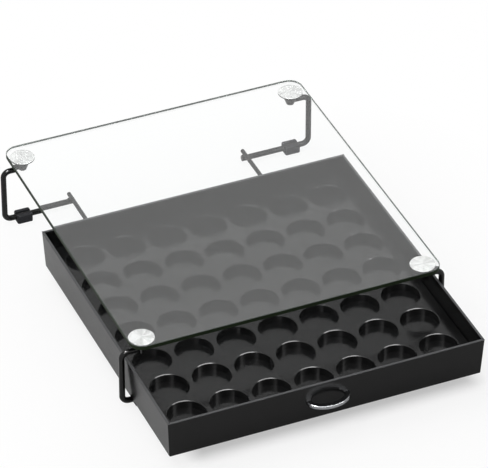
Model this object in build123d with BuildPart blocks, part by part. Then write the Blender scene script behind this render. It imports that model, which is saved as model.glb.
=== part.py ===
"""Coffee capsule holder: a glass-topped stand with a pull-out drawer of round capsule sockets.

Millimetres, +Z up. The origin is the middle of the upper face of the glass, the face that a
machine stands on. The drawer opens towards -Y and is modelled part open.
"""

import os
from math import atan, cos, degrees

from build123d import *

os.makedirs("parts", exist_ok=True)

# Drawer box, its size at the rim; the walls lean inward towards the floor
drawer_width = 332.0
drawer_depth = 334.0
drawer_height = 41.5
drawer_draft = 2.1
drawer_wall = 2.5
drawer_floor = 2.5
drawer_corner_round = 1.2
drawer_rim_round = 0.5
drawer_inner_round = 1.0

# Bent wire legs and rails
wire_diameter = 6.0
wire_radius = wire_diameter / 2
wire_clearance = 0.05
rail_diameter = 4.4
rail_radius = rail_diameter / 2
bend_radius = 7.0
rail_overhang = 6.5
rail_end_round = 0.8
drawer_side_gap = 1.2
upper_arm_reach = 21.1
lower_arm_reach = 76.2
arm_end_past_rail = 3.5
leg_x = drawer_width / 2 + drawer_side_gap + wire_radius
rail_x = leg_x - lower_arm_reach + arm_end_past_rail

# Glass top, on a standoff at the end of each upper arm
glass_depth = 360.6
glass_thickness = 5.0
glass_corner_radius = 14.0
glass_edge_chamfer = 0.5
standoff_inset_side = 15.0
standoff_inset_end = 18.0
standoff_x = leg_x - upper_arm_reach
leg_y = glass_depth / 2 - standoff_inset_end
glass_width = 2 * (standoff_x + standoff_inset_side)
glass_underside = -glass_thickness

# Rubber feet
foot_length = 16.6
foot_width = 13.6
foot_height = 7.2
foot_upright_round = 2.0
foot_top_round = 1.0
foot_sleeve_wall = 0.7
foot_wire_height = 5.4
foot_outset = 1.0
foot_x = standoff_x + foot_outset

# Heights of the stand
stand_height = 80.9
upper_arm_height = 64.5
table = -stand_height
arm_height_low = table + foot_wire_height
arm_height_high = table + upper_arm_height
rail_height = arm_height_low + wire_radius + rail_radius

# Standoffs: a clear pad under the glass, a metal disc, a washer and a boss
stud_diameter = 5.0
stud_radius = stud_diameter / 2
stud_clearance = 0.05
stud_end_chamfer = 0.3
pad_radius = 12.0
pad_thickness = 0.3
cap_radius = 13.0
cap_thickness = 1.6
cap_edge_chamfer = 0.25
cap_socket_depth = 1.0
washer_radius = 6.8
washer_thickness = 0.8
pad_bottom = glass_underside - pad_thickness
cap_bottom = pad_bottom - cap_thickness
boss_top = cap_bottom - washer_thickness
boss_below_arm = 0.6
boss_bottom = arm_height_high - wire_radius - boss_below_arm
boss_collar = 4.8
boss_collar_radius = 7.3
boss_shoulder_radius = 7.0
boss_bottom_radius = 4.3
boss_bottom_round = 0.5
stud_gap_above_wire = 0.6
arm_end_in_boss = 1.5

# Drawer on its rails
runner_gap = 0.3
glide_thickness = 0.8
glide_width = 8.0
glide_end_margin = 12.0
drawer_bottom = rail_height + rail_radius + runner_gap + glide_thickness
drawer_floor_top = drawer_bottom + drawer_floor

# Drawer travel, from flush with the glass to the stops
drawer_shown_open = 89.6
drawer_travel = 230.0
front_face = -glass_depth / 2 - drawer_shown_open
drawer_middle_y = front_face + drawer_depth / 2

# Stop tabs moulded under the drawer floor, outside the rails
stop_width = 12.0
stop_depth = 3.0
stop_reach = 8.2
stop_gap = 0.3
stop_from_rail = 22.7
stop_x = rail_x + stop_from_rail
closing_stop_y = -leg_y - wire_radius - stop_gap - stop_depth / 2 - drawer_shown_open
opening_stop_y = -leg_y + wire_radius + stop_gap + stop_depth / 2 + drawer_travel - drawer_shown_open

# Capsule insert: seven rows of seven sockets, a little nearer the front than the middle
socket_rows = 7
socket_columns = 7
socket_margin_side = 6.3
socket_margin_end = 7.3
socket_rows_forward = 1.0
flange_diameter = 37.0
flange_clearance = 0.75
socket_radius = flange_diameter / 2 + flange_clearance
socket_depth = 8.5
rim_chamfer_per_land = 0.1
insert_clearance = 0.4
insert_floor_thickness = 1.5
insert_corner_round = 1.5
screw_notch_margin = 0.8
riser_height = 8.0
riser_thickness = 2.4
insert_level = drawer_floor + riser_height
wall_lean_at_insert = drawer_draft * (1 - insert_level / drawer_height)
insert_gap = drawer_wall + wall_lean_at_insert + insert_clearance
insert_width = drawer_width - 2 * insert_gap
insert_depth = drawer_depth - 2 * insert_gap
column_pitch = (insert_width - 2 * socket_margin_side) / socket_columns
row_pitch = (insert_depth - 2 * socket_margin_end) / socket_rows
socket_land = min(column_pitch, row_pitch) - 2 * socket_radius
socket_rim_chamfer = rim_chamfer_per_land * socket_land
socket_middle_y = drawer_middle_y - socket_rows_forward
riser_top = drawer_floor_top + riser_height
socket_floor_top = riser_top + insert_floor_thickness
deck_top = socket_floor_top + socket_depth

# Half-ring pull
pull_half_width = 22.5
pull_reach = 15.2
pull_band = 5.4
pull_thickness = 3.8
pull_edge_round = 0.7
pull_above_middle = 0.6
pull_height = drawer_bottom + drawer_height / 2 + pull_above_middle
pull_screw_x = pull_half_width - pull_band / 2
pull_screw_diameter = 2.5
pull_screw_clearance = 0.2
pull_screw_depth = 4.0
pull_screw_head_diameter = 4.8
pull_screw_head_height = 1.6
pull_screw_slot_width = 0.8
pull_screw_slot_depth = 0.9
thread_clearance = 0.05

# The leaning front wall, its normal pointing out of the drawer at the height of the pull
draft_angle = atan(drawer_draft / drawer_height)
rim_height = drawer_bottom + drawer_height
front_face_at_pull = front_face + drawer_draft * (rim_height - pull_height) / drawer_height
wall_square = drawer_wall * cos(draft_angle)
front_plane = Plane(
    origin=(0, front_face_at_pull, pull_height),
    x_dir=(1, 0, 0),
    z_dir=(0, -drawer_height, -drawer_draft),
)

corners = [
    ("front_left", -1, -1),
    ("front_right", 1, -1),
    ("rear_left", -1, 1),
    ("rear_right", 1, 1),
]


def save(part, name):
    """Label a finished piece and write it to its own file."""
    part.label = name
    export_step(part, f"parts/{name}.step")


# Tempered glass top
with BuildPart() as glass_top:
    with BuildSketch(Plane.XY.offset(glass_underside)):
        RectangleRounded(glass_width, glass_depth, glass_corner_radius)
    extrude(amount=glass_thickness)
    outline_edges = glass_top.edges().group_by(Axis.Z)[-1] + glass_top.edges().group_by(Axis.Z)[0]
    chamfer(outline_edges, glass_edge_chamfer)
save(glass_top.part, "glass_top")


def wire_leg(sx, sy):
    """One bent wire: an arm under the glass, the upright, and an arm along the table."""
    y = sy * leg_y
    arm_end_high = sx * (standoff_x + arm_end_in_boss)
    arm_end_low = sx * (leg_x - lower_arm_reach)
    with BuildPart() as leg:
        with BuildLine() as path:
            FilletPolyline(
                (arm_end_high, y, arm_height_high),
                (sx * leg_x, y, arm_height_high),
                (sx * leg_x, y, arm_height_low),
                (arm_end_low, y, arm_height_low),
                radius=bend_radius,
            )
        with BuildSketch(Plane(origin=path.line @ 0, z_dir=path.line % 0)):
            Circle(wire_radius)
        sweep(path=path.line)
    return leg.part


# Slide rails, welded on top of the lower arms
def slide_rail(sx):
    """A straight round rail that the drawer runs on."""
    half_length = leg_y + rail_overhang
    with BuildPart() as rail:
        with BuildSketch(Plane.XZ.offset(-half_length)):
            with Locations((sx * rail_x, rail_height)):
                Circle(rail_radius)
        extrude(amount=2 * half_length)
        ends = rail.edges().filter_by(GeomType.CIRCLE)
        fillet(ends, rail_end_round)
    return rail.part


save(slide_rail(-1), "rail_left")
save(slide_rail(1), "rail_right")


def rubber_foot(sx, sy):
    """A soft block with a sleeve, pushed over the lower arm."""
    foot_end = Plane.YZ.offset(sx * foot_x - foot_length / 2)
    with BuildPart() as foot:
        with Locations((sx * foot_x, sy * leg_y, table + foot_height / 2)):
            Box(foot_length, foot_width, foot_height)
        fillet(foot.edges().filter_by(Axis.Z), foot_upright_round)
        fillet(foot.faces().sort_by(Axis.Z)[-1].edges(), foot_top_round)
        with BuildSketch(foot_end):
            with Locations((sy * leg_y, arm_height_low)):
                Circle(wire_radius + foot_sleeve_wall)
        extrude(amount=foot_length)
        with BuildSketch(foot_end):
            with Locations((sy * leg_y, arm_height_low)):
                Circle(wire_radius + wire_clearance)
        extrude(amount=foot_length, mode=Mode.SUBTRACT)
    return foot.part


def standoff_boss(sx, sy):
    """A turned cup on the end of the upper arm, bored for the arm and tapped for the stud."""
    place = Plane(origin=(sx * standoff_x, sy * leg_y, 0))
    shoulder = boss_top - boss_collar
    stud_end = arm_height_high + wire_radius + stud_gap_above_wire
    with BuildPart() as boss:
        with BuildSketch(Plane.XZ):
            with BuildLine():
                Polyline(
                    (0, boss_bottom),
                    (boss_bottom_radius, boss_bottom),
                    (boss_shoulder_radius, shoulder),
                    (boss_collar_radius, shoulder),
                    (boss_collar_radius, boss_top),
                    (0, boss_top),
                    close=True,
                )
            make_face()
        revolve(axis=Axis.Z)
        fillet(boss.edges().group_by(Axis.Z)[0], boss_bottom_round)
        with BuildSketch(Plane.XY.offset(stud_end)):
            Circle(stud_radius + thread_clearance)
        extrude(until=Until.LAST, mode=Mode.SUBTRACT)
        with BuildSketch(Plane(origin=(arm_end_in_boss * sx, 0, arm_height_high), z_dir=(sx, 0, 0))):
            Circle(wire_radius + wire_clearance)
        extrude(amount=boss_collar_radius, mode=Mode.SUBTRACT)
    return boss.part.moved(place.location)


def flat_washer(sx, sy):
    """A flat washer around the stud, between the disc and the boss."""
    with BuildPart() as washer:
        with BuildSketch(Plane.XY.offset(boss_top)):
            with Locations((sx * standoff_x, sy * leg_y)):
                Circle(washer_radius)
                Circle(stud_radius + stud_clearance, mode=Mode.SUBTRACT)
        extrude(amount=washer_thickness)
    return washer.part


def bonding_pad(sx, sy):
    """The clear pad that bonds the disc to the underside of the glass."""
    with BuildPart() as pad:
        with BuildSketch(Plane.XY.offset(pad_bottom)):
            with Locations((sx * standoff_x, sy * leg_y)):
                Circle(pad_radius)
        extrude(amount=pad_thickness)
    return pad.part


def threaded_stud(sx, sy):
    """A plain-shanked stud from the boss into the disc."""
    bottom = arm_height_high + wire_radius + stud_gap_above_wire
    top = cap_bottom + cap_socket_depth
    with BuildPart() as stud:
        with BuildSketch(Plane.XY.offset(bottom)):
            with Locations((sx * standoff_x, sy * leg_y)):
                Circle(stud_radius)
        extrude(amount=top - bottom)
        chamfer(stud.edges().filter_by(GeomType.CIRCLE), stud_end_chamfer)
    return stud.part


def glass_disc(sx, sy):
    """A flat turned disc under the glass, with a blind hole for the stud below."""
    with BuildPart() as disc:
        with BuildSketch(Plane.XY.offset(cap_bottom)):
            with Locations((sx * standoff_x, sy * leg_y)):
                Circle(cap_radius)
        extrude(amount=cap_thickness)
        chamfer(disc.edges(), cap_edge_chamfer)
        with BuildSketch(Plane.XY.offset(cap_bottom)):
            with Locations((sx * standoff_x, sy * leg_y)):
                Circle(stud_radius + thread_clearance)
        extrude(amount=cap_socket_depth, mode=Mode.SUBTRACT)
    return disc.part


# The four corners of the stand
for corner, sx, sy in corners:
    save(wire_leg(sx, sy), f"leg_{corner}")
    save(rubber_foot(sx, sy), f"foot_{corner}")
    save(standoff_boss(sx, sy), f"boss_{corner}")
    save(flat_washer(sx, sy), f"washer_under_{corner}")
    save(bonding_pad(sx, sy), f"washer_top_{corner}")
    save(threaded_stud(sx, sy), f"stud_{corner}")
    save(glass_disc(sx, sy), f"cap_{corner}")


def leaning_block(rim_width, rim_depth, depth, corner_round):
    """A rounded block that narrows downward from the drawer's rim at the draft of its walls."""
    with BuildPart() as block:
        with BuildSketch(Plane.XY.offset(rim_height)):
            with Locations((0, drawer_middle_y)):
                Rectangle(rim_width, rim_depth)
        extrude(amount=-depth, taper=degrees(draft_angle))
        uprights = block.edges().filter_by(lambda e: abs(e.tangent_at(0.5).Z) > 0.9)
        fillet(uprights, corner_round)
    return block.part


# Drawer box: floor, four leaning walls, holes for the pull screws, stop tabs below
cavity_width = drawer_width - 2 * drawer_wall
cavity_depth = drawer_depth - 2 * drawer_wall
cavity_reach = drawer_height - drawer_floor
with BuildPart() as drawer_box:
    add(leaning_block(drawer_width, drawer_depth, drawer_height, drawer_corner_round))
    cavity = leaning_block(cavity_width, cavity_depth, cavity_reach, drawer_inner_round)
    add(cavity, mode=Mode.SUBTRACT)
    fillet(drawer_box.faces().sort_by(Axis.Z)[-1].outer_wire().edges(), drawer_rim_round)
    with BuildSketch(front_plane):
        with Locations((-pull_screw_x, 0), (pull_screw_x, 0)):
            Circle(pull_screw_diameter / 2 + pull_screw_clearance)
    extrude(amount=-2 * drawer_wall, mode=Mode.SUBTRACT)
    for sx in (-1, 1):
        for stop_y in (closing_stop_y, opening_stop_y):
            with Locations((sx * stop_x, stop_y, drawer_bottom - stop_reach / 2)):
                Box(stop_width, stop_depth, stop_reach)
save(drawer_box.part, "drawer_box")

# Socket deck: the plate that the capsules stand in, with notches for the pull's screw heads
notch_width = pull_screw_head_diameter + 2 * screw_notch_margin
notch_depth = 2 * (pull_screw_head_height + screw_notch_margin)
notch_y = front_face_at_pull + drawer_wall
notch_reach = deck_top - pull_height + notch_width / 2
with BuildPart() as socket_deck:
    with BuildSketch(Plane.XY.offset(socket_floor_top)):
        with Locations((0, drawer_middle_y)):
            RectangleRounded(insert_width, insert_depth, insert_corner_round)
        with Locations((0, socket_middle_y)):
            with GridLocations(column_pitch, row_pitch, socket_columns, socket_rows):
                Circle(socket_radius, mode=Mode.SUBTRACT)
    extrude(amount=socket_depth)
    rims = socket_deck.edges().filter_by(GeomType.CIRCLE).group_by(Axis.Z)[-1]
    chamfer(rims.filter_by(lambda e: e.radius > insert_corner_round * 2), socket_rim_chamfer)
    with BuildSketch(Plane.XY.offset(deck_top)):
        with Locations((-pull_screw_x, notch_y), (pull_screw_x, notch_y)):
            Rectangle(notch_width, notch_depth)
    extrude(amount=-notch_reach, mode=Mode.SUBTRACT)
save(socket_deck.part, "socket_deck")

# Floor sheet that closes the sockets from below
with BuildPart() as socket_floor:
    with BuildSketch(Plane.XY.offset(riser_top)):
        with Locations((0, drawer_middle_y)):
            RectangleRounded(insert_width, insert_depth, insert_corner_round)
    extrude(amount=insert_floor_thickness)
save(socket_floor.part, "socket_floor")

# Risers that hold the insert above the drawer floor, one under each gap between columns
riser_length = insert_depth - 2 * row_pitch
with BuildPart() as insert_risers:
    with BuildSketch(Plane.XY.offset(drawer_floor_top)):
        with Locations((0, drawer_middle_y)):
            with GridLocations(column_pitch, 0, socket_columns - 1, 1):
                Rectangle(riser_thickness, riser_length)
    extrude(amount=riser_height)
save(insert_risers.part, "insert_risers")

# Half-ring pull on the drawer front, its two ends cut to the lean of the wall
with BuildPart() as drawer_pull:
    with BuildSketch(Plane.XY.offset(pull_height - pull_thickness / 2)):
        with Locations((0, front_face_at_pull)):
            Ellipse(pull_half_width, pull_reach)
            Ellipse(pull_half_width - pull_band, pull_reach - pull_band, mode=Mode.SUBTRACT)
    extrude(amount=pull_thickness)
    fillet(drawer_pull.edges().filter_by(GeomType.ELLIPSE), pull_edge_round)
    split(bisect_by=front_plane, keep=Keep.TOP)
    with BuildSketch(front_plane):
        with Locations((-pull_screw_x, 0), (pull_screw_x, 0)):
            Circle(pull_screw_diameter / 2 + thread_clearance)
    extrude(amount=pull_screw_depth, mode=Mode.SUBTRACT)
save(drawer_pull.part, "drawer_pull")

# Two screws that hold the pull from inside the drawer
with BuildPart() as pull_screws:
    with BuildSketch(front_plane.offset(-wall_square)):
        with Locations((-pull_screw_x, 0), (pull_screw_x, 0)):
            Circle(pull_screw_head_diameter / 2)
    extrude(amount=-pull_screw_head_height)
    with BuildSketch(front_plane.offset(-wall_square)):
        with Locations((-pull_screw_x, 0), (pull_screw_x, 0)):
            Circle(pull_screw_diameter / 2)
    extrude(amount=wall_square + pull_screw_depth - 2 * thread_clearance)
    with BuildSketch(front_plane.offset(-wall_square - pull_screw_head_height)):
        with Locations((-pull_screw_x, 0), (pull_screw_x, 0)):
            Rectangle(pull_screw_head_diameter, pull_screw_slot_width)
    extrude(amount=pull_screw_slot_depth, mode=Mode.SUBTRACT)
save(pull_screws.part, "pull_screws")


# Low-friction strips under the drawer that run on the rails
def glide_strip(sx):
    """A thin strip bonded to the drawer floor above one rail."""
    with BuildPart() as glide:
        with BuildSketch(Plane.XY.offset(drawer_bottom - glide_thickness)):
            with Locations((sx * rail_x, drawer_middle_y)):
                Rectangle(glide_width, drawer_depth - 2 * glide_end_margin)
        extrude(amount=glide_thickness)
    return glide.part


save(glide_strip(-1), "glide_left")
save(glide_strip(1), "glide_right")
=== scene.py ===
"""Looks of a coffee capsule holder: a glass top held by four turned discs on a bent wire stand,
and a drawer with round sockets and a half-ring pull.

Metres, in the frame of the packed part: the origin is the middle of the upper face of the glass,
+Z is up and the drawer opens towards -Y. Run as a script, this dresses the part and lights it in
a plain studio. The panel in the sidebar of the 3D view lists the same steps.
"""

import math

import bmesh
import bpy
from bpy.props import FloatProperty, FloatVectorProperty, IntProperty, PointerProperty
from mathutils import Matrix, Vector


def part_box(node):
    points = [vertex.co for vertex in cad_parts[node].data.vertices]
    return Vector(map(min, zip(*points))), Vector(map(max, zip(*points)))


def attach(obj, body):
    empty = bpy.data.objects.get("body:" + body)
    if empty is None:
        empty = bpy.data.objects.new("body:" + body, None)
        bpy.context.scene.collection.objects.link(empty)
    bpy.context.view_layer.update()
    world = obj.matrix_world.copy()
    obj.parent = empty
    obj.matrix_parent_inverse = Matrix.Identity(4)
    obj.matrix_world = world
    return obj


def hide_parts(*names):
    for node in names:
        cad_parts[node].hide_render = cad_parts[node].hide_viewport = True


bl_info = {
    "name": "Coffee capsule holder",
    "version": (1, 0, 0),
    "blender": (4, 5, 0),
    "location": "3D View > Sidebar > Capsule holder",
    "description": "Dresses a capsule holder's frame and sets up a plain studio",
    "category": "Object",
}

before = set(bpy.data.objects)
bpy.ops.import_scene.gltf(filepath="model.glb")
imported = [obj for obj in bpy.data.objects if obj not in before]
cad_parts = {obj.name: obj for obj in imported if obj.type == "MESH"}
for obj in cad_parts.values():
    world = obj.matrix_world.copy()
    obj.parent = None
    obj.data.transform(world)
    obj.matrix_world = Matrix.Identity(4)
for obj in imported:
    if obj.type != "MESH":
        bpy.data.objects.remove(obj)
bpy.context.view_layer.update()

# Each corner's sides of the middle, in X and Y. What all four have is modelled at the front left.
CORNERS = {
    "front_left": (-1, -1),
    "front_right": (1, -1),
    "rear_left": (-1, 1),
    "rear_right": (1, 1),
}
SAME = 1e-6  # places closer than this are one place
UPRIGHT = 1e-3  # an edge whose ends differ more in height than this stands up
PAST = 0.001  # how far a cutting tool reaches out of the piece that it cuts
WHITE = (1.0, 1.0, 1.0, 1.0)

# Where the frame has its pieces
glass_low, glass_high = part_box("glass_top")
foot_low, foot_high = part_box("foot_front_left")
cap_low, cap_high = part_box("cap_front_left")
boss_low, boss_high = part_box("boss_front_left")
pad_low, pad_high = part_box("washer_top_front_left")
leg_low, leg_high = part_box("leg_front_left")
rail_low, rail_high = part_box("rail_left")
box_low, box_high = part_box("drawer_box")
pull_low, pull_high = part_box("drawer_pull")
stud_low, stud_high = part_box("stud_front_left")

table = foot_low.z
standoff = (cap_low + cap_high) / 2
wire_radius = (leg_high.y - leg_low.y) / 2
arm_y, arm_z = (leg_high.y + leg_low.y) / 2, leg_low.z + wire_radius
drawer_floor, drawer_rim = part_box("glide_left")[1].z, box_high.z
pull_height = (pull_low.z + pull_high.z) / 2


# ---------------------------------------------------------------- settings


def length(name, words, value):
    """A property that holds a length in metres."""
    return FloatProperty(
        name=name, description=words, default=value, min=0.0, unit="LENGTH", precision=5
    )


def amount(name, words, value, least=0.0, unit="NONE"):
    """A property that holds a number with that unit, or a plain one."""
    return FloatProperty(name=name, description=words, default=value, min=least, unit=unit)


def share(name, words, value):
    """A property that holds a number from 0 to 1."""
    return FloatProperty(
        name=name, description=words, default=value, min=0.0, max=1.0, subtype="FACTOR"
    )


def angle(name, words, degrees):
    """A property that holds an angle."""
    return FloatProperty(
        name=name, description=words, default=math.radians(degrees), unit="ROTATION"
    )


def side_count(words, value, least):
    """A property that holds the number of sides of something round."""
    return IntProperty(name="Sides", description=words, default=value, min=least)


def colour(name, words, value):
    """A property that holds a colour."""
    return FloatVectorProperty(
        name=name, description=words, default=value, size=3, min=0.0, max=1.0, subtype="COLOR"
    )


class GlassSettings(bpy.types.PropertyGroup):
    """The tempered glass top."""

    corner_radius: length("Corner radius", "Radius of the four corners seen from above", 0.014)
    edge_chamfer: length("Edge chamfer", "Chamfer along the upper and lower edge", 0.0005)
    tint: colour("Tint", "Colour of light that has gone a long way inside", (0.5, 0.86, 0.72))
    tint_density: amount("Tint density", "How fast the glass takes light away, per metre", 3.0)
    edge: colour("Edge", "Dark green of the ground edge", (0.018, 0.026, 0.014))
    # Painted light: the paler tone of the edge seen from inside the glass stands for light that
    # comes through it.
    edge_painted_through_light: colour(
        "Edge from inside", "Green grey of the edge, lit through, seen from inside the glass",
        (0.2, 0.218, 0.206),
    )
    # Partly frosted grinding, partly painted highlight: the upper chamfer is paler than the lower
    # one because light falls from above.
    bevel_frost_and_highlight: colour("Bevel tone", "Frosted grey of the upper chamfer", (0.13, 0.145, 0.135))


class WireSettings(bpy.types.PropertyGroup):
    """The bent wire stand."""

    bend_radius: length("Bend radius", "Radius of the bends, to the middle of the wire", 0.007)
    arm_in_boss: length(
        "Arm in boss", "How far the upper arm stops short of the standoff's axis, outwards", 0.0015
    )
    end_round: length("End round", "Rounding of the cut end of the lower arm", 0.0005)
    sides: side_count("Sides of the wire's round section", 28, 12)
    coat: colour("Coat", "Black powder coat", (0.0045, 0.0045, 0.0046))
    coat_roughness: share("Coat roughness", "Mean roughness of the powder coat", 0.08)


class StandoffSettings(bpy.types.PropertyGroup):
    """Discs, bond pads and bosses under the glass."""

    disc_chamfer: length("Disc chamfer", "Chamfer of the disc's edges", 0.00025)
    pad_gap: length("Pad gap", "Space left above and below the bond pad", 0.00002)
    pad_rim: length("Pad rim", "Chamfer of the bond pad's edges", 0.00006)
    collar_height: length("Collar height", "Height of the boss's upper collar", 0.0048)
    cup_top: length("Cup top", "Radius of the boss right below its collar", 0.007)
    cup_bottom: length("Cup bottom", "Radius of the boss at its lower end", 0.0043)
    cup_round: length("Cup round", "Rounding of the boss's lower edge", 0.0005)
    stud_bore: length("Stud bore", "Radius of the bore for the stud", 0.00255)
    sides: side_count("Sides of the discs and pads; the bosses have half as many", 96, 24)
    # The discs' base colour is streaked with painted reflections in turned_metal.
    metal: colour("Metal", "Turned metal of the discs", (0.83, 0.83, 0.825))
    boss_black: colour("Boss black", "Gloss black of the bosses", (0.0055, 0.0055, 0.0056))
    boss_roughness: share("Boss roughness", "Mean roughness of the bosses", 0.12)
    washer: colour("Washer", "Clear soft plastic of the washers", (0.86, 0.89, 0.87))
    steel: colour("Steel", "Bare steel of the studs", (0.56, 0.55, 0.54))


class FootSettings(bpy.types.PropertyGroup):
    """Rubber feet."""

    mouth: length("Mouth", "Width of the groove's opening above the wire", 0.0046)
    upright_round: length("Upright round", "Rounding of the upright edges", 0.002)
    top_round: length("Top round", "Rounding of the block's upper edges", 0.001)
    sole_round: length("Sole round", "Rounding of the lower edges", 0.0004)
    bore_gap: length("Bore gap", "Gap between the wire and its bore in the foot", 0.0001)
    rubber: colour("Rubber", "Dark grey rubber", (0.022, 0.022, 0.026))


class DrawerSettings(bpy.types.PropertyGroup):
    """The drawer, its insert and its pull."""

    wall: length("Wall", "Thickness of the walls", 0.0025)
    floor: length("Floor", "Thickness of the floor", 0.0025)
    draft: length("Draft", "How far each wall leans in from the rim to the bottom", 0.0021)
    corner_round: length("Corner round", "Rounding of the upright outer corners", 0.0012)
    rim_round: length("Rim round", "Rounding of the outer rim edge", 0.0005)
    inner_round: length("Inner round", "Rounding of the inner rim edge", 0.00025)
    sole_round: length("Sole round", "Rounding of the outer lower edge", 0.0004)
    pull_band: length("Pull band", "Width of the half-ring's band seen from above", 0.0054)
    pull_round: length("Pull round", "Rounding of the half-ring's edges", 0.0008)
    screw_hole: length("Screw hole", "Radius of the screw holes in the front wall", 0.00145)
    plastic: colour("Plastic", "Gloss black plastic of the drawer", (0.0045, 0.0045, 0.0045))
    # Painted highlight: a lighter tone on top of the rim that stands for the light the rim catches.
    painted_rim_highlight: colour("Rim tone", "Lighter tone along the drawer's rim", (0.105, 0.106, 0.11))
    insert: colour("Insert", "Gloss black plastic of the insert", (0.006, 0.006, 0.0062))
    # Painted shade: the chrome is set dark to stand for the dim floor that it mirrors in front of
    # the drawer.
    pull_chrome_painted_dark: colour("Pull metal", "Polished chrome of the pull", (0.3, 0.305, 0.315))


class StudioSettings(bpy.types.PropertyGroup):
    """Floor, light and camera."""

    floor_tone: colour("Floor", "Colour of the floor", (0.97, 0.97, 0.97))
    floor_white: share(
        "Floor white", "How much plain white covers the floor's own shade under the part", 0.45
    )
    shadow_start: length(
        "Shadow start", "How far under the part the floor starts to go over into white", 0.012
    )
    lit_start: length("Lit side start", "The same on the left, where the light comes from", 0.04)
    shadow_reach: length(
        "Shadow reach", "Width of the band in which the floor becomes nearly white", 0.02
    )
    sky: share("Sky", "Even light from all round", 0.55)
    soft_power: amount("Soft lamp", "Power of the large soft lamp", 13.0, unit="POWER")
    key_power: amount("Key lamp", "Power of the small key lamp", 5.0, unit="POWER")
    gloss_power: amount("Gloss lamp", "Power of the lamp above for gloss only", 55.0, unit="POWER")
    edge_power: amount("Edge lamp", "Power of the lamp in front for gloss only", 45.0, unit="POWER")
    camera_at: FloatVectorProperty(
        name="Camera", description="Where the camera stands", subtype="TRANSLATION", size=3,
        default=(-1.28653, -3.07334, 2.42984),
    )
    camera_turn: angle("Turn", "Azimuth of the view", -23.1475)
    camera_height: angle("Height", "Elevation of the view", 36.4766)
    lens: amount("Lens", "Focal length on a 36 mm frame", 304.02, 1.0, unit="CAMERA")


# ---------------------------------------------------------------- modelling by hand


def let_go():
    """Object mode with nothing selected."""
    if bpy.context.object and bpy.context.object.mode != "OBJECT":
        bpy.ops.object.mode_set(mode="OBJECT")
    bpy.ops.object.select_all(action="DESELECT")


def take(piece):
    """Object mode with one piece selected and active."""
    let_go()
    piece.select_set(True)
    bpy.context.view_layer.objects.active = piece
    return piece


def shape():
    """Edit mode with all of the active piece picked."""
    bpy.ops.object.mode_set(mode="EDIT")
    bpy.ops.mesh.select_mode(type="VERT")
    bpy.ops.mesh.select_all(action="SELECT")


def shaped():
    """Back to object mode with the piece that has been shaped."""
    bpy.ops.object.mode_set(mode="OBJECT")
    return bpy.context.object


def pick(kind, test):
    """Pick the faces or the edges that pass the test, which is also given the piece's place."""
    bpy.ops.mesh.select_mode(type=kind)
    bpy.ops.mesh.select_all(action="DESELECT")
    piece = bpy.context.edit_object
    work = bmesh.from_edit_mesh(piece.data)
    parts = work.faces if kind == "FACE" else work.edges
    found = [part for part in parts if test(part, piece.matrix_world)]
    if not found:
        raise RuntimeError(f"no {kind.lower()} is where the piece needs one")
    for part in found:
        part.select_set(True)
    bmesh.update_edit_mesh(piece.data)


def pick_faces(test):
    """Pick the faces whose normal passes the test."""
    pick("FACE", lambda face, place: test((place.to_3x3() @ face.normal).normalized()))


def pick_edges(test):
    """Pick the edges whose two ends pass the test."""
    pick("EDGE", lambda edge, place: test(place @ edge.verts[0].co, place @ edge.verts[1].co))


def level(height):
    """A test for edges that lie level at that height."""
    return lambda a, b: abs(a.z - height) < SAME and abs(b.z - height) < SAME


def upright(a, b):
    """A test for edges that stand up."""
    return abs(a.z - b.z) > UPRIGHT


def round_off(size, steps):
    """Bevel the picked edges."""
    bpy.ops.mesh.bevel(offset=size, segments=steps, affect="EDGES")


def push(x=0.0, z=0.0):
    """Extrude what is picked and move it."""
    bpy.ops.mesh.extrude_region_move(TRANSFORM_OT_translate={"value": (x, 0.0, z)})


def turned(profile, count):
    """A body turned about the standoff's axis: one ring for each radius and height."""
    (radius, height), *rings = profile
    x, y = standoff.x, standoff.y
    let_go()
    bpy.ops.mesh.primitive_circle_add(
        vertices=count, radius=radius, fill_type="NGON", location=(x, y, height)
    )
    shape()
    for next_radius, next_height in rings:
        push(z=next_height - height)
        size = next_radius / radius
        bpy.ops.transform.resize(value=(size, size, 1.0), center_override=(x, y, next_height))
        radius, height = next_radius, next_height
    return shaped()


def block(low, high):
    """A block from its lowest to its highest corner, in edit mode."""
    let_go()
    middle = (Vector(low) + Vector(high)) / 2
    bpy.ops.mesh.primitive_cube_add(size=1.0, location=middle)
    shape()
    bpy.ops.transform.resize(value=Vector(high) - Vector(low), center_override=middle)
    return bpy.context.object


def rod(radius, start, end, count):
    """A round bar between two points on a line along X, Y or Z."""
    start, end = Vector(start), Vector(end)
    let_go()
    bpy.ops.mesh.primitive_cylinder_add(
        vertices=count, radius=radius, depth=(end - start).length, location=(start + end) / 2,
        rotation=(end - start).to_track_quat("Z", "Y").to_euler(),
    )
    return bpy.context.object


def carve(piece, tools, way="DIFFERENCE"):
    """Cut the tools out of the piece, or join them to it, and delete them."""
    for tool in tools:
        take(piece)
        cut = piece.modifiers.new("cut", "BOOLEAN")
        cut.operation, cut.object, cut.solver = way, tool, "EXACT"
        bpy.ops.object.modifier_apply(modifier=cut.name)
        bpy.data.objects.remove(tool)
    return take(piece)


def settle(piece, name, smooth):
    """Origin at the world's, doubles merged, faces outwards, rounds smooth and flats flat.

    An edge that turns by more than the smooth angle, in degrees, stays sharp.
    """
    take(piece)
    bpy.ops.object.transform_apply(location=True, rotation=True, scale=True)
    bpy.ops.mesh.customdata_custom_splitnormals_clear()
    shape()
    bpy.ops.mesh.remove_doubles(threshold=SAME)
    bpy.ops.mesh.normals_make_consistent(inside=False)
    shaped()
    bpy.ops.object.shade_smooth_by_angle(angle=math.radians(smooth))
    flats = piece.modifiers.new("flats", "WEIGHTED_NORMAL")
    flats.keep_sharp = True
    bpy.ops.object.modifier_apply(modifier=flats.name)
    piece.name = piece.data.name = name
    return piece


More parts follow.
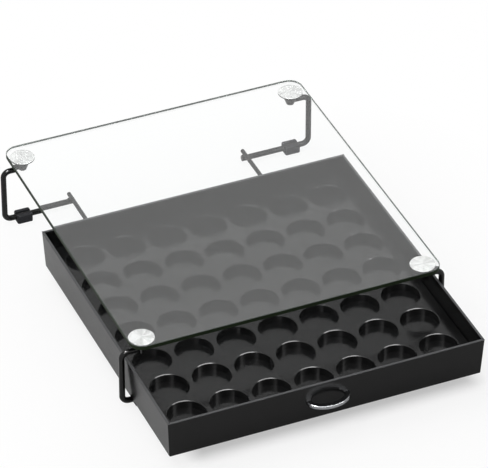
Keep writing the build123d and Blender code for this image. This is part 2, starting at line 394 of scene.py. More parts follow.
def copied(piece, name, mirror=(1, 1), shift=(0.0, 0.0)):
    """A copy with its own mesh and no marks yet, mirrored across the middle planes or moved."""
    take(piece)
    bpy.ops.object.duplicate()
    twin = bpy.context.object
    for mark in list(twin.keys()):
        del twin[mark]
    twin.scale = (mirror[0], mirror[1], 1.0)
    twin.location = (shift[0], shift[1], 0.0)
    return settle(twin, name, smooth=35.0)


def dress(piece, finish, body, stands_for=()):
    """Give a new piece its finish and the body that carries it."""
    piece.data.materials.clear()
    piece.data.materials.append(finish)
    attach(piece, body)
    if stands_for:
        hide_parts(*stands_for)


def at_corners(*kinds, mirrored=True):
    """Dress front left pieces and their copies, mirrored or just moved, at the other corners.

    Each kind is a piece, its name, finish and slot, and the node that it stands for or None. The
    slot is not used.
    """
    made = {}
    for corner, (x, y) in CORNERS.items():
        moved = (-(x + 1) * standoff.x, -(y + 1) * standoff.y)
        placed = {"mirror": (-x, -y)} if mirrored else {"shift": moved}
        for piece, kind, finish, slot, node in kinds:
            name = f"{kind}_{corner}"
            twin = piece if corner == "front_left" else copied(piece, name, **placed)
            dress(twin, finish, "stand", [f"{node}_{corner}"] if node else ())
            made[name] = twin
    return made


def second_finish(piece, finish, test):
    """Give the faces whose normal passes the test one more finish."""
    piece.data.materials.append(finish)
    for face in piece.data.polygons:
        if test(face.normal):
            face.material_index = len(piece.data.materials) - 1


def dress_node(name, finish):
    """Give a piece of the frame its finish."""
    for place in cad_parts[name].material_slots:
        place.material = finish


# ---------------------------------------------------------------- finishes


class Nodes:
    """A node tree and short ways to add nodes to it."""

    def __init__(self, owner):
        owner.use_nodes = True
        self.tree = owner.node_tree

    def find(self, kind):
        """The one node of that kind that the tree starts with."""
        return next(n for n in self.tree.nodes if n.type == kind)

    def feed(self, socket, value):
        """Link an output to a socket, or set the socket's value."""
        if isinstance(value, bpy.types.NodeSocket):
            self.tree.links.new(value, socket)
        else:
            socket.default_value = value

    def node(self, kind, settings=None, **sockets):
        """A new node; each socket is given by its name, or by i and its number."""
        made = self.tree.nodes.new(kind)
        for key, value in (settings or {}).items():
            setattr(made, key, value)
        for socket, value in sockets.items():
            number = socket[1:]
            key = int(number) if number.isdigit() else socket.replace("_", " ")
            self.feed(made.inputs[key], value)
        return made

    def math(self, way, *values):
        """A Math node's value."""
        inputs = {f"i{k}": v for k, v in enumerate(values)}
        return self.node("ShaderNodeMath", {"operation": way}, **inputs).outputs[0]

    def times(self, first, second):
        """A product."""
        return self.math("MULTIPLY", first, second)

    def distance(self, x, y):
        """How far a point lies from nought."""
        return self.math("SQRT", self.math("ADD", self.times(x, x), self.times(y, y)))

    def beyond(self, value, reach):
        """How far a value lies beyond the reach, on either side of nought."""
        return self.math("SUBTRACT", self.math("ABSOLUTE", value), reach)

    def mix_shaders(self, weight, first, second):
        """The first shader where the weight is 0 and the second where it is 1."""
        return self.node("ShaderNodeMixShader", i0=weight, i1=first, i2=second).outputs[0]


class Finish(Nodes):
    """A material with one Principled shader."""

    def __init__(self, name, **values):
        self.material = bpy.data.materials.new(name)
        super().__init__(self.material)
        self.shader = self.find("BSDF_PRINCIPLED")
        self.output = self.find("OUTPUT_MATERIAL")
        for socket, value in values.items():
            self.drive(socket.replace("_", " "), value)

    def drive(self, name, value):
        """Feed one of the shader's sockets."""
        self.feed(self.shader.inputs[name], value)

    def place(self, centre=(0.0, 0.0, 0.0), scale=(1.0, 1.0, 1.0)):
        """Object coordinates, moved so that the centre is nought, then scaled."""
        where = self.node("ShaderNodeTexCoord").outputs["Object"]
        at = tuple(-c * s for c, s in zip(centre, scale))
        mapped = self.node("ShaderNodeMapping", Vector=where, Location=at, Scale=scale)
        return mapped.outputs["Vector"]

    def split(self, vector):
        """A vector's X, Y and Z."""
        return self.node("ShaderNodeSeparateXYZ", Vector=vector).outputs

    def join(self, x, y=0.0, z=0.0):
        """A vector of three values."""
        return self.node("ShaderNodeCombineXYZ", X=x, Y=y, Z=z).outputs["Vector"]

    def noise(self, where, waves, detail=3.0, grit=0.5):
        """Noise from 0 to 1, with so many waves per metre."""
        made = self.node(
            "ShaderNodeTexNoise", Vector=where, Scale=waves, Detail=detail, Roughness=grit
        )
        return made.outputs["Fac"]

    def ramp(self, value, low, high, from_low=0.0, from_high=1.0):
        """The value carried over from one range to another, and held at its ends."""
        made = self.node(
            "ShaderNodeMapRange", Value=value, From_Min=from_low, From_Max=from_high, To_Min=low,
            To_Max=high,
        )
        return made.outputs["Result"]

    def weigh(self, first, weight, second, other_weight):
        """The sum of two values, each times its weight."""
        return self.math("ADD", self.times(first, weight), self.times(second, other_weight))

    def blend(self, weight, first, second):
        """A mix of two colours, of which each may be another node's output."""
        made = self.node("ShaderNodeMix", {"data_type": "RGBA"}, i0=weight)
        for number, value in ((6, first), (7, second)):
            linked = isinstance(value, bpy.types.NodeSocket)
            self.feed(made.inputs[number], value if linked else (*value, 1.0))
        return made.outputs[2]

    def tones(self, weight, base, dark, light):
        """One colour between two of its tones."""
        return self.blend(weight, tone(base, dark), tone(base, light))

    def rough(self, marks, low, high, most=0.75):
        """Roughness from low to high, as the marks go from 0.3 to the most that they reach."""
        self.drive("Roughness", self.ramp(marks, low, high, 0.3, most))

    def bump(self, height, depth, strength):
        """Raise the surface by a height from 0 to 1, times a depth in metres."""
        made = self.node("ShaderNodeBump", Height=height, Distance=depth, Strength=strength)
        self.drive("Normal", made.outputs["Normal"])


def tone(base, factor):
    """A colour made lighter or darker."""
    return tuple(min(1.0, v * factor) for v in base)


def gloss_plastic(name, black, painted_rim_highlight, rim_height):
    """Injection-moulded gloss black: faint sink waves, wiping marks, and a painted highlight along
    the rim.
    """
    f = Finish(name, IOR=1.46, Specular_IOR_Level=0.2)
    where = f.place()
    body = f.tones(f.noise(where, 9.0, detail=2.0), black, 0.8, 1.25)
    # The top of the rim gets a painted highlight, broken up a little by noise.
    rim_foot, rim_top = rim_height - 0.0004, rim_height - 0.0001
    at_rim = f.ramp(f.split(where)["Z"], 0.0, 1.0, rim_foot, rim_top)
    highlight_breakup = f.ramp(f.noise(where, 260.0, detail=4.0), 0.82, 1.0)
    f.drive("Base Color", f.blend(f.times(at_rim, highlight_breakup), body, painted_rim_highlight))
    wiped = f.noise(f.place(scale=(1.0, 1.0, 6.0)), 55.0, detail=5.0, grit=0.62)
    f.rough(wiped, 0.17, 0.26)
    f.bump(f.noise(where, 38.0, detail=1.5), depth=0.00012, strength=0.12)
    return f.material


def insert_plastic(name, black):
    """Gloss black sheet that is drawn a little uneven, with wiping marks."""
    f = Finish(name, IOR=1.46, Specular_IOR_Level=0.4)
    where = f.place()
    f.drive("Base Color", f.tones(f.noise(where, 12.0, detail=2.0), black, 0.75, 1.3))
    f.rough(f.noise(where, 70.0, detail=5.0, grit=0.6), 0.14, 0.24)
    f.bump(f.noise(where, 45.0, detail=2.0), depth=0.00012, strength=0.15)
    return f.material


def powder_coat(name, black, roughness):
    """Gloss black powder coat with the fine dimples that it dries with."""
    f = Finish(name, IOR=1.5, Specular_IOR_Level=0.25)
    where = f.place()
    f.drive("Base Color", f.tones(f.noise(where, 120.0), black, 0.8, 1.3))
    marks = f.noise(where, 420.0, detail=4.0)
    f.rough(marks, roughness * 0.75, roughness * 1.3, most=0.7)
    f.bump(f.noise(where, 700.0, detail=2.0), depth=0.00002, strength=0.2)
    return f.material


def turned_metal(name, metal):
    """Turned metal over fine rings, with painted reflection streaks: soft lighter and darker
    sectors in the base colour that fan out from the disc's middle.
    """
    f = Finish(name, Metallic=1.0, Anisotropic=0.5)
    axes = f.split(f.node("ShaderNodeTexCoord").outputs["Object"])
    side_x, side_y = f.math("SIGN", axes["X"]), f.math("SIGN", axes["Y"])
    x = f.times(f.beyond(axes["X"], abs(standoff.x)), side_x)
    y = f.times(f.beyond(axes["Y"], abs(standoff.y)), side_y)
    radius = f.distance(x, y)
    unit_x, unit_y = f.math("DIVIDE", x, radius), f.math("DIVIDE", y, radius)
    # A noise that is read round a circle gives the painted reflection streaks. The right discs read
    # it at another height.
    turn = f.join(unit_x, unit_y, f.times(side_x, 0.7))
    painted_streaks, fine_painted_streaks = f.noise(turn, 1.9, detail=0.0), f.noise(turn, 11.0, detail=2.0, grit=0.6)
    light = f.ramp(f.weigh(painted_streaks, 0.88, fine_painted_streaks, 0.12), 0.0, 1.0, 0.34, 0.6)
    # The painted reflection streaks lighten and darken the metal's base colour.
    f.drive("Base Color", f.tones(light, metal, 0.86, 1.05))
    rings = f.noise(f.join(radius), 5200.0, detail=2.0, grit=0.7)
    f.rough(rings, 0.17, 0.22, most=0.7)
    f.drive("Tangent", f.join(f.times(unit_y, -1.0), unit_x))
    f.bump(rings, depth=0.000006, strength=0.2)
    return f.material


def polished_chrome(name, metal):
    """Polished chrome with hair-fine wiping marks."""
    f = Finish(name, Metallic=1.0)
    where = f.place(scale=(1.0, 1.0, 5.0))
    f.drive("Base Color", f.tones(f.noise(where, 90.0), metal, 0.94, 1.04))
    f.rough(f.noise(where, 600.0, detail=5.0, grit=0.65), 0.03, 0.1)
    f.bump(f.noise(where, 60.0, detail=2.0), depth=0.00004, strength=0.1)
    return f.material


def bare_steel(name, steel, pitch):
    """Plain steel with a rolled thread, which has its pitch along Z."""
    f = Finish(name, Metallic=1.0)
    where = f.place()
    f.drive("Base Color", f.tones(f.noise(where, 800.0, detail=4.0), steel, 0.8, 1.15))
    f.rough(f.noise(where, 1500.0), 0.25, 0.45, most=0.7)
    f.bump(f.math("PINGPONG", f.split(where)["Z"], pitch / 2), depth=1.0, strength=0.5)
    return f.material


def soft_rubber(name, rubber):
    """Moulded rubber: matt, with a fine grain."""
    f = Finish(name, IOR=1.5, Specular_IOR_Level=0.12)
    where = f.place()
    cloud = f.noise(where, 350.0, detail=4.0, grit=0.6)
    f.drive("Base Color", f.tones(cloud, rubber, 0.75, 1.25))
    f.rough(f.noise(where, 900.0), 0.55, 0.8, most=0.7)
    f.bump(f.noise(where, 2600.0, detail=2.0), depth=0.00005, strength=0.5)
    return f.material


def clear_washer(name, washer):
    """Soft clear plastic that scatters a little light."""
    f = Finish(name, IOR=1.45, Transmission_Weight=0.55, Roughness=0.35)
    where = f.place()
    f.drive("Base Color", f.tones(f.noise(where, 500.0), washer, 0.9, 1.05))
    f.bump(f.noise(where, 1500.0, detail=2.0), depth=0.00003, strength=0.3)
    return f.material


def clear_bond(name):
    """Cured clear adhesive: nearly invisible, with faint clouds that it sets with."""
    f = Finish(name, Roughness=0.3, Specular_IOR_Level=0.0)
    cloud = f.noise(f.place(), 300.0, detail=4.0, grit=0.6)
    f.drive("Base Color", f.blend(cloud, (0.8, 0.82, 0.8), (0.92, 0.93, 0.92)))
    f.drive("Alpha", f.ramp(cloud, 0.0, 0.08, 0.4, 0.8))
    return f.material


def slick_strip(name):
    """Low-friction strip, dark, with running marks along the travel."""
    f = Finish(name, IOR=1.4, Specular_IOR_Level=0.4)
    streak = f.noise(f.place(scale=(1.0, 0.04, 1.0)), 900.0, detail=4.0, grit=0.7)
    f.drive("Base Color", f.blend(streak, (0.05, 0.05, 0.052), (0.095, 0.095, 0.1)))
    f.rough(streak, 0.35, 0.6, most=0.7)
    f.bump(streak, depth=0.00004, strength=0.4)
    return f.material


def tempered_glass(name, tint, density):
    """Clear float glass, green over a long way, that lets lamp light through to what is below."""
    f = Finish(name, IOR=1.52, Transmission_Weight=1.0, Base_Color=WHITE)
    where = f.place()
    smears = f.noise(where, 30.0, detail=5.0, grit=0.65)
    f.drive("Roughness", f.ramp(smears, 0.0, 0.004, 0.5, 0.8))
    f.bump(f.noise(where, 3.0, detail=1.0), depth=0.0004, strength=0.01)
    path = f.node("ShaderNodeLightPath").outputs
    lets_by = f.math("MAXIMUM", path["Is Shadow Ray"], path["Is Diffuse Ray"])
    clear = f.node("ShaderNodeBsdfTransparent", Color=(0.97, 0.985, 0.98, 1.0)).outputs[0]
    f.feed(f.output.inputs["Surface"], f.mix_shaders(lets_by, f.shader.outputs[0], clear))
    inside = f.node("ShaderNodeVolumeAbsorption", Color=(*tint, 1.0), Density=density)
    f.feed(f.output.inputs["Volume"], inside.outputs[0])
    return f.material


def ground_edge(name, green, inside=None):
    """A half matt ground edge with fine grinding lines.

    It can have a paler tone where it is seen from inside the glass: painted light that stands for
    the light coming through the glass.
    """
    f = Finish(name, IOR=1.52, Specular_IOR_Level=0.02)
    lines = f.noise(f.place(scale=(1.0, 1.0, 12.0)), 220.0, grit=0.6)
    cloud = f.noise(f.place(), 35.0, detail=2.0)
    shade = f.weigh(lines, 0.4, cloud, 0.6)
    base = f.tones(shade, green, 0.6, 1.5)
    if inside:
        # Seen from inside the glass, the edge takes the painted through-light tone.
        within = f.node("ShaderNodeNewGeometry").outputs["Backfacing"]
        base = f.blend(within, base, f.tones(shade, inside, 0.6, 1.5))
    f.drive("Base Color", base)
    f.rough(lines, 0.3, 0.45, most=0.7)
    f.bump(lines, depth=0.00002, strength=0.3)
    return f.material


# ---------------------------------------------------------------- pieces


class HOLDER_OT_glass_top(bpy.types.Operator):
    """Model the glass top: rounded outline and ground edges"""

    bl_idname = "capsule_holder.glass_top"
    bl_label = "Glass top"

    def execute(self, context):
        s = context.scene.holder_glass
        size = glass_high - glass_low
        let_go()
        bpy.ops.mesh.primitive_plane_add(size=1.0, location=(0.0, 0.0, glass_high.z))
        shape()
        bpy.ops.transform.resize(value=(size.x, size.y, 1.0))
        bpy.ops.mesh.bevel(offset=s.corner_radius, segments=20, affect="VERTICES")
        bpy.ops.mesh.select_all(action="SELECT")
        push(z=-size.z)
        for height in (glass_high.z, glass_low.z):
            pick_edges(level(height))
            round_off(s.edge_chamfer, 1)
        glass = settle(shaped(), "glass_plate", smooth=30.0)
        body = tempered_glass("Tempered glass", s.tint, s.tint_density)
        dress(glass, body, "stand", ["glass_top"])
        ground = ground_edge("Ground glass edge", s.edge, tuple(s.edge_painted_through_light))
        second_finish(glass, ground, lambda normal: -0.9 < normal.z < 0.3)
        # Only the upper chamfer gets the paler tone: frosted grinding and a painted highlight.
        bevel = ground_edge("Ground glass bevel", s.bevel_frost_and_highlight)
        second_finish(glass, bevel, lambda normal: 0.3 < normal.z < 0.9)
        return {"FINISHED"}


class HOLDER_OT_wire_stand(bpy.types.Operator):
    """Bend the four legs and weld the slide rails to them"""

    bl_idname = "capsule_holder.wire_stand"
    bl_label = "Wire stand"

    def execute(self, context):
        s = context.scene.holder_wire
        coat = powder_coat("Black powder coat", s.coat, s.coat_roughness)
        top = leg_high.z - wire_radius
        start = standoff.x - s.arm_in_boss
        turn_x = leg_low.x + wire_radius + s.bend_radius
        let_go()
        bpy.ops.mesh.primitive_circle_add(
            vertices=s.sides, radius=wire_radius, fill_type="NGON", location=(start, arm_y, top),
            rotation=(0.0, math.pi / 2, 0.0),
        )
        shape()
        push(x=turn_x - start)
        self.bend(turn_x, top - s.bend_radius)
        push(z=arm_z - top + 2 * s.bend_radius)
        self.bend(turn_x, arm_z + s.bend_radius)
        push(x=leg_high.x - turn_x)
        pick_edges(lambda a, b: min(a.x, b.x) > leg_high.x - SAME)
        round_off(s.end_round, 3)
        leg = settle(shaped(), "wire_leg_front_left", smooth=50.0)
        bead = self.weld()
        at_corners((leg, "wire_leg", coat, "wire", "leg"), (bead, "weld", coat, "wire", None))
        dress_node("rail_left", coat)
        dress_node("rail_right", coat)
        return {"FINISHED"}

    def bend(self, x, z):
        """Take the wire's end a quarter turn round that place."""
        bpy.ops.mesh.spin(
            steps=12, angle=math.pi / 2, center=(x, arm_y, z), axis=(0.0, 1.0, 0.0)
        )

    def weld(self):
        """Two small puddles of weld where the rail crosses the lower arm, one on each side."""
        rail_x = (rail_low.x + rail_high.x) / 2
        rail_radius = (rail_high.x - rail_low.x) / 2
        squash, ripple = (0.75, 0.9, 0.55), 0.00012
        puddles = []
        for side, seed in ((-1, 3), (1, 4)):
            let_go()
            beside = rail_x + side * rail_radius * 0.95
            bpy.ops.mesh.primitive_uv_sphere_add(
                segments=16, ring_count=10, radius=rail_radius,
                location=(beside, arm_y, arm_z + wire_radius),
            )
            shape()
            bpy.ops.transform.resize(value=squash)
            bpy.ops.transform.vertex_random(offset=ripple, seed=seed)
            puddles.append(shaped())
        take(puddles[0])
        puddles[1].select_set(True)
        bpy.ops.object.join()
        return settle(puddles[0], "weld_front_left", smooth=80.0)


class HOLDER_OT_standoffs(bpy.types.Operator):
    """Turn the discs, the bond pads and the bosses, and finish the washers and studs"""

    bl_idname = "capsule_holder.standoffs"
    bl_label = "Standoffs"

    def execute(self, context):
        s = context.scene.holder_standoffs
        metal = turned_metal("Turned metal", s.metal)
        black = powder_coat("Gloss black boss", s.boss_black, s.boss_roughness)
        bond = clear_bond("Clear bond")
        washer = clear_washer("Clear washer", s.washer)
        steel = bare_steel("Bare steel", s.steel, pitch=0.0008)
        disc, pad, boss = self.disc(s), self.pad(s), self.boss(s)
        made = at_corners(
            (disc, "turned_disc", metal, "chrome", "cap"),
            (boss, "boss_cup", black, "boss", "boss"),
            (pad, "bond_pad", bond, "washer", "washer_top"),
            mirrored=False,
        )
        for corner in CORNERS:
            second_finish(made[f"turned_disc_{corner}"], black, lambda normal: normal.z < 0.3)
            dress_node(f"washer_under_{corner}", washer)
            dress_node(f"stud_{corner}", steel)
        return {"FINISHED"}

    def disc(self, s):
        """A flat disc with chamfered edges, bored from below for the stud."""
        radius, edge = (cap_high.x - cap_low.x) / 2, s.disc_chamfer
        centre_mark = 0.0005
        profile = [
            (centre_mark, cap_high.z),
            (radius - edge, cap_high.z),
            (radius, cap_high.z - edge),
            (radius, cap_low.z + edge),
            (radius - edge, cap_low.z),
            (s.stud_bore, cap_low.z),
            (s.stud_bore, stud_high.z),
        ]
        return settle(turned(profile, s.sides), "turned_disc_front_left", smooth=28.0)

    def pad(self, s):
        """A thin round pad, just clear of the glass above it and the disc below."""
        radius, rim = (pad_high.x - pad_low.x) / 2, s.pad_rim
        top, bottom = pad_high.z - s.pad_gap, pad_low.z + s.pad_gap
        profile = [
            (radius - rim, top),
            (radius, top - rim),
            (radius, bottom + rim),
            (radius - rim, bottom),
        ]
        return settle(turned(profile, s.sides), "bond_pad_front_left", smooth=28.0)

    def boss(self, s):
        """A tapered cup under a straight collar, bored from above for the stud."""
        bottom, top = boss_low.z, boss_high.z
        collar, shoulder = (boss_high.x - boss_low.x) / 2, boss_high.z - s.collar_height
        chamfer, under_stud = 0.0003, 0.0001
        profile = [
            (s.cup_bottom - s.cup_round, bottom),
            (s.cup_bottom - 0.3 * s.cup_round, bottom + 0.3 * s.cup_round),
            (s.cup_bottom, bottom + s.cup_round),
            (s.cup_top, shoulder),
            (collar - chamfer, shoulder),
            (collar, shoulder + chamfer),
            (collar, top - chamfer),
            (collar - chamfer, top),
            (s.stud_bore, top),
            (s.stud_bore, stud_low.z - under_stud),
        ]
        return settle(turned(profile, s.sides // 2), "boss_cup_front_left", smooth=28.0)


class HOLDER_OT_feet(bpy.types.Operator):
    """Mould the rubber feet: a block with a groove that snaps over the wire"""

    bl_idname = "capsule_holder.feet"
    bl_label = "Rubber feet"

    def execute(self, context):
        s = context.scene.holder_feet
        block(foot_low, foot_high)
        for test, size, steps in (
            (upright, s.upright_round, 6),
            (level(foot_high.z), s.top_round, 4),
            (level(foot_low.z), s.sole_round, 2),
        ):
            pick_edges(test)
            round_off(size, steps)
        foot = shaped()
        start, end, half = foot_low.x - PAST, foot_high.x + PAST, s.mouth / 2
        bore = rod(wire_radius + s.bore_gap, (start, arm_y, arm_z), (end, arm_y, arm_z), 48)
        mouth = block((start, arm_y - half, arm_z), (end, arm_y + half, foot_high.z + PAST))
        foot = settle(carve(foot, [bore, mouth]), "rubber_foot_front_left", smooth=32.0)
        rubber = soft_rubber("Dark rubber", s.rubber)
        at_corners((foot, "rubber_foot", rubber, "rubber", "foot"))
        return {"FINISHED"}


class HOLDER_OT_drawer_box(bpy.types.Operator):
    """Mould the drawer: floor, four leaning walls, rounded rim, screw holes, stop tabs below"""

    bl_idname = "capsule_holder.drawer_box"
    bl_label = "Drawer box"

    def execute(self, context):
        s = context.scene.holder_drawer
        low, high = Vector((box_low.x, box_low.y, drawer_floor)), box_high
        middle, size = (low + high) / 2, high - low
        inner_draft = s.draft * (size.z - s.floor) / size.z
        mid_wall = (size - Vector((s.wall, s.wall, 0.0))) / 2
        at_rim, at_sole = level(drawer_rim), level(drawer_floor)

        def outside(v):
            """Further out than the middle of the walls' upper face."""
            return abs(v.x - middle.x) > mid_wall.x or abs(v.y - middle.y) > mid_wall.y

        block(low, high)
        pick_faces(lambda normal: normal.z < -0.9)
        self.draw_in(middle, size.x, size.y, s.draft)
        pick_edges(upright)
        round_off(s.corner_round, 4)
        pick_faces(lambda normal: normal.z > 0.9)
        bpy.ops.mesh.inset(thickness=s.wall)
        push(z=drawer_floor + s.floor - drawer_rim)
        self.draw_in(middle, size.x - 2 * s.wall, size.y - 2 * s.wall, inner_draft)
        pick_edges(lambda a, b: at_rim(a, b) and outside(a) and outside(b))
        round_off(s.rim_round, 4)
        pick_edges(lambda a, b: at_rim(a, b) and not outside(a) and not outside(b))
        round_off(s.inner_round, 2)
        pick_edges(at_sole)
        round_off(s.sole_round, 2)
        box = carve(carve(shaped(), self.screw_holes(s)), self.tabs(), "UNION")
        settle(box, "drawer_shell", smooth=32.0)
        # The drawer's plastic carries a painted highlight along its rim.
        black = gloss_plastic("Gloss black plastic", s.plastic, s.painted_rim_highlight, drawer_rim)
        dress(box, black, "drawer", ["drawer_box"])
        strip = slick_strip("Slide strip")
        dress_node("glide_left", strip)
        dress_node("glide_right", strip)
        return {"FINISHED"}

    def draw_in(self, middle, width, depth, by):
        """Make the picked face smaller by that much on each side."""
        value = (1 - 2 * by / width, 1 - 2 * by / depth, 1.0)
        bpy.ops.transform.resize(value=value, center_override=middle)

    def screw_holes(self, s):
        """Two rods through the front wall, where the pull's ends are screwed on."""
        x = pull_high.x - s.pull_band / 2
        front, back = box_low.y - PAST, box_low.y + 2 * s.wall
        return [
            rod(s.screw_hole, (side * x, front, pull_height), (side * x, back, pull_height), 24)
            for side in (-1, 1)
        ]

    def tabs(self):
        """Four stop tabs under the floor, rounded at their lower ends."""
        made = []
        front_half = box_low.y + 0.1
        into_floor, tab_round = 0.0005, 0.0006
        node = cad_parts["drawer_box"].data
        lowest = [v.co.copy() for v in node.vertices if v.co.z < box_low.z + 10 * SAME]
        for side in (-1, 1):
            for front in (True, False):
                points = [p for p in lowest if p.x * side > 0 and (p.y < front_half) == front]
                low = Vector([min(p[k] for p in points) for k in range(3)])
                wide, deep = max(p.x for p in points), max(p.y for p in points)
                tab = block(low, (wide, deep, drawer_floor + into_floor))
                pick_edges(lambda a, b: level(low.z)(a, b) or upright(a, b))
                round_off(tab_round, 3)
                made.append(tab)
        return made


class HOLDER_OT_insert(bpy.types.Operator):
    """Finish the socket deck, the sheet below it and its risers"""

    bl_idname = "capsule_holder.insert"
    bl_label = "Capsule insert"

    def execute(self, context):
        finish = insert_plastic("Insert plastic", context.scene.holder_drawer.insert)
        for name in ("socket_deck", "socket_floor", "insert_risers"):
            dress_node(name, finish)
        return {"FINISHED"}


class HOLDER_OT_pull(bpy.types.Operator):
    """Form the half-ring pull, cut to the lean of the front wall, and finish its screws"""

    bl_idname = "capsule_holder.pull"
    bl_label = "Half-ring pull"

    def execute(self, context):
        s = context.scene.holder_drawer
        lean = s.draft / (drawer_rim - drawer_floor)
        wall = box_low.y + lean * (drawer_rim - pull_height)
        half, reach, band = pull_high.x, wall - pull_low.y, s.pull_band
        mid_band = 1 - band / 2 / half - 0.02  # a little less, as the ring isn't quite a circle

        def outer(v):
            """Further out than the middle of the band."""
            return math.hypot(v.x / half, (v.y - wall) / reach) > mid_band

        let_go()
        bpy.ops.mesh.primitive_circle_add(
            vertices=160, radius=1.0, fill_type="NOTHING", location=(0.0, wall, pull_low.z)
        )
        shape()
        bpy.ops.transform.resize(value=(half, reach, 1.0))
        bpy.ops.mesh.duplicate_move()
        bpy.ops.transform.resize(value=((half - band) / half, (reach - band) / reach, 1.0))
        bpy.ops.mesh.select_all(action="SELECT")
        bpy.ops.mesh.bridge_edge_loops()
        bpy.ops.mesh.select_all(action="SELECT")
        push(z=pull_high.z - pull_low.z)
        for height in (pull_low.z, pull_high.z):
            pick_edges(lambda a, b: level(height)(a, b) and outer(a) == outer(b))
            round_off(s.pull_round, 5)
        bpy.ops.mesh.select_all(action="SELECT")
        bpy.ops.mesh.bisect(
            plane_co=(0.0, wall, pull_height), plane_no=(0.0, 1.0, lean), clear_outer=True,
            use_fill=True,
        )
        ring = settle(shaped(), "half_ring_pull", smooth=40.0)
        # The chrome's dark tone is painted shade of the surroundings that it mirrors.
        chrome = polished_chrome("Polished chrome", s.pull_chrome_painted_dark)
        dress(ring, chrome, "drawer", ["drawer_pull"])
        dress_node("pull_screws", bare_steel("Screw steel", (0.5, 0.49, 0.48), pitch=0.0005))
        return {"FINISHED"}


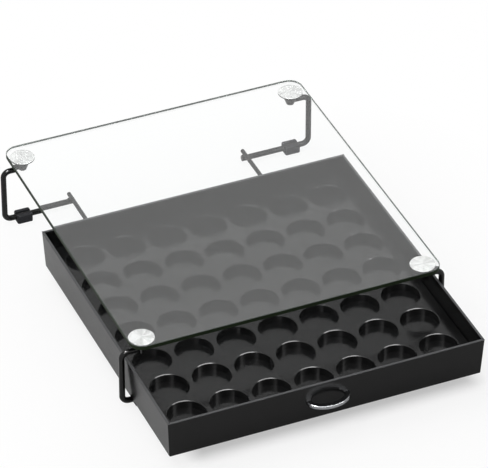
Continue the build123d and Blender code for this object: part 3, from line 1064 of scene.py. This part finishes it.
class HOLDER_OT_studio(bpy.types.Operator):
    """Lay the floor, hang the lamps and set the camera"""

    bl_idname = "capsule_holder.studio"
    bl_label = "Plain studio"

    def execute(self, context):
        s = context.scene.holder_studio
        context.scene.view_settings.view_transform = "Standard"
        self.floor(s)
        self.sky(s)
        self.lamp("soft_lamp", (-0.5, 0.7, 1.9), 1.9, s.soft_power, glossy=False)
        self.lamp("key_lamp", (-1.1, -0.3, 1.9), 0.35, s.key_power)
        self.lamp("gloss_lamp", (-0.55, -0.25, 1.5), 0.5, s.gloss_power, diffuse=False)
        self.lamp("edge_lamp", (0.1, -1.1, 1.2), 2.6, s.edge_power, height=0.3, diffuse=False)
        self.camera(s)
        return {"FINISHED"}

    def camera(self, s):
        """A camera that looks along the given azimuth and elevation."""
        bpy.ops.object.camera_add(location=s.camera_at)
        camera = bpy.context.object
        camera.name = "camera"
        turn, rise = s.camera_turn, s.camera_height
        back = (
            math.sin(turn) * math.cos(rise), -math.cos(turn) * math.cos(rise), math.sin(rise)
        )
        camera.rotation_mode = "QUATERNION"
        camera.rotation_quaternion = Vector(back).to_track_quat("Z", "Y")
        camera.data.lens, camera.data.sensor_width = s.lens, 36.0
        camera.data.clip_start, camera.data.clip_end = 0.05, 100.0
        bpy.context.scene.camera = camera

    def lamp(self, name, place, size, power, height=None, glossy=True, diffuse=True):
        """A round lamp, or a long one of the given height, that shines at the foot of the part.

        Its place is measured from the table below the glass's middle.
        """
        x, y, z = place
        bpy.ops.object.light_add(type="AREA", location=(x, y, table + z))
        lamp = bpy.context.object
        lamp.name = name
        lamp.data.shape = "RECTANGLE" if height else "DISK"
        lamp.data.size, lamp.data.size_y, lamp.data.energy = size, height or size, power
        aim = Vector((0.0, -0.06, table))
        lamp.rotation_mode = "QUATERNION"
        lamp.rotation_quaternion = (lamp.location - aim).to_track_quat("Z", "Y")
        lamp.visible_glossy, lamp.visible_diffuse = glossy, diffuse
        lamp.visible_transmission = False

    def floor(self, s):
        """A pale floor that keeps the part's shadow beside it and goes over into plain white."""
        under_feet, nearly_white, mirror_reach = 0.0002, 0.82, 0.25
        let_go()
        bpy.ops.mesh.primitive_plane_add(size=14.0, location=(0.0, 0.0, table - under_feet))
        plane = bpy.context.object
        plane.name = "studio_floor"
        f = Finish(
            "Studio floor", Roughness=0.9, Specular_IOR_Level=0.0, Base_Color=(*s.floor_tone, 1.0)
        )
        low = box_low + Vector((s.lit_start, s.shadow_start, 0.0))
        high = box_high - Vector((s.shadow_start, s.shadow_start, 0.0))
        middle, half = (low + high) / 2, (high - low) / 2
        axes = f.split(f.place(centre=(middle.x, middle.y, 0.0)))
        beside = f.math("MAXIMUM", f.beyond(axes["X"], half.x), 0.0)
        along = f.math("MAXIMUM", f.beyond(axes["Y"], half.y), 0.0)
        gap = f.distance(beside, along)
        near = f.ramp(gap, s.floor_white, nearly_white, 0.0, s.shadow_reach)
        far = f.ramp(gap, 0.0, 1.0 - nearly_white, s.shadow_reach, 10 * s.shadow_reach)
        path = f.node("ShaderNodeLightPath").outputs
        seen = f.math("MAXIMUM", path["Is Camera Ray"], path["Is Transmission Ray"])
        mirrored = f.times(f.ramp(gap, 0.0, 1.0, 0.0, mirror_reach), path["Is Glossy Ray"])
        covered = f.math("MAXIMUM", f.times(f.math("ADD", near, far), seen), mirrored)
        white = f.node("ShaderNodeEmission", Color=WHITE, Strength=1.0).outputs[0]
        f.feed(f.output.inputs["Surface"], f.mix_shaders(covered, f.shader.outputs[0], white))
        plane.data.materials.append(f.material)

    def sky(self, s):
        """White wherever it is seen or mirrored, and a plain even light on everything else."""
        world = bpy.data.worlds.new("Studio")
        bpy.context.scene.world = world
        n = Nodes(world)
        light = n.find("BACKGROUND")
        n.feed(light.inputs["Color"], WHITE)
        n.feed(light.inputs["Strength"], s.sky)
        white = n.node("ShaderNodeBackground", Color=WHITE).outputs[0]
        path = n.node("ShaderNodeLightPath").outputs
        seen = n.math("MAXIMUM", path["Is Camera Ray"], path["Is Glossy Ray"])
        seen = n.math("MAXIMUM", seen, path["Is Transmission Ray"])
        both = n.mix_shaders(seen, light.outputs[0], white)
        n.feed(n.find("OUTPUT_WORLD").inputs["Surface"], both)


PIECES = (
    HOLDER_OT_studio,
    HOLDER_OT_glass_top,
    HOLDER_OT_wire_stand,
    HOLDER_OT_standoffs,
    HOLDER_OT_feet,
    HOLDER_OT_drawer_box,
    HOLDER_OT_insert,
    HOLDER_OT_pull,
)
SETTINGS = {
    "holder_glass": GlassSettings,
    "holder_wire": WireSettings,
    "holder_standoffs": StandoffSettings,
    "holder_feet": FootSettings,
    "holder_drawer": DrawerSettings,
    "holder_studio": StudioSettings,
}


class HOLDER_PT_pieces(bpy.types.Panel):
    """Lists the holder's pieces and their settings"""

    bl_label = "Capsule holder"
    bl_idname = "HOLDER_PT_pieces"
    bl_space_type = "VIEW_3D"
    bl_region_type = "UI"
    bl_category = "Capsule holder"

    def draw(self, context):
        for piece in PIECES:
            self.layout.operator(piece.bl_idname)
        for name, group in SETTINGS.items():
            part = self.layout.box()
            part.label(text=group.__doc__)
            for key in group.__annotations__:
                part.prop(getattr(context.scene, name), key)


def register():
    for group in SETTINGS.values():
        bpy.utils.register_class(group)
    for piece in (*PIECES, HOLDER_PT_pieces):
        bpy.utils.register_class(piece)
    for name, group in SETTINGS.items():
        setattr(bpy.types.Scene, name, PointerProperty(type=group))


def unregister():
    for name in SETTINGS:
        delattr(bpy.types.Scene, name)
    for made in (HOLDER_PT_pieces, *reversed(PIECES), *reversed(list(SETTINGS.values()))):
        bpy.utils.unregister_class(made)


def main():
    """Register everything and make the pieces in order."""
    register()
    for piece in PIECES:
        area, name = piece.bl_idname.split(".")
        getattr(getattr(bpy.ops, area), name)()
    let_go()


if __name__ == "__main__":
    main()
